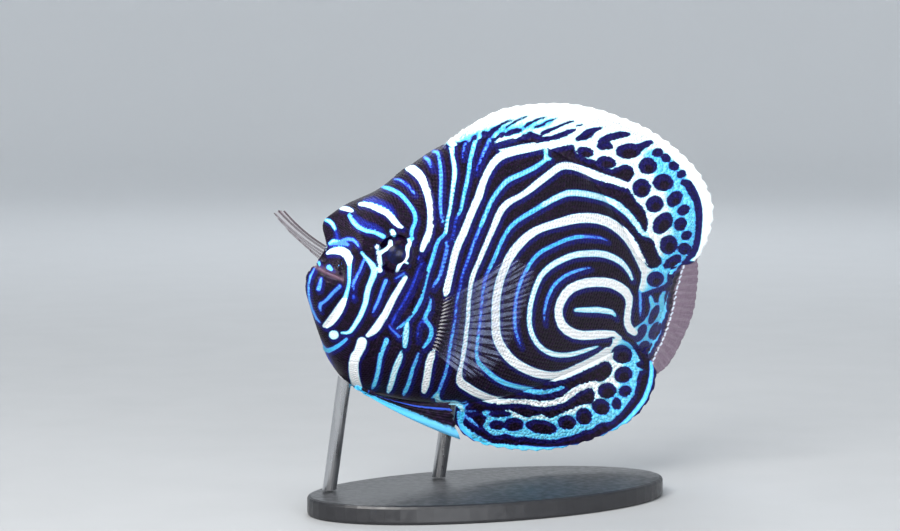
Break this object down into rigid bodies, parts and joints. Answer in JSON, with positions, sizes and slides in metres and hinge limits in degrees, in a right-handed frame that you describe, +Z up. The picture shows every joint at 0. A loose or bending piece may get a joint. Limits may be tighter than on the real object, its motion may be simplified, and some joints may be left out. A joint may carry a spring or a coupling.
{
  "type": "juvenile emperor angelfish display model",
  "caption": "Life-size, still juvenile emperor angelfish swimming with its tail swept aside, held over a flat oval display base by short rods.",
  "frame": {"origin": "centre of the underside of the display base", "axes": "+X towards the tail, +Y to the fish's right, +Z up; the fish faces -X with its left side towards -Y"},
  "size_m": [0.0821, 0.034, 0.0642],
  "materials": {
    "skin": "satin, ringed in white and blue over near black",
    "fin": "satin, netted in blue and white over near black",
    "clear_fin": "thin and see-through, with fine rays",
    "eye": "polished, dark pupil in a banded iris",
    "stand_base": "fine satin black",
    "stand_rod": "brushed"
  },
  "bodies": {
    "root": {"head": "skin", "jaw_lower": "skin", "torso": "skin", "tail_stalk": "skin", "eye_left": "eye", "eye_right": "eye", "fin_dorsal": "fin", "fin_anal": "fin", "fin_pelvic_left": "fin", "fin_pelvic_right": "fin", "fin_tail": "clear_fin", "fin_pectoral_left": "clear_fin", "fin_pectoral_right": "clear_fin", "stand_base": "stand_base", "stand_rod_front": "stand_rod", "stand_rod_rear": "stand_rod"}
  },
  "joints": []
}
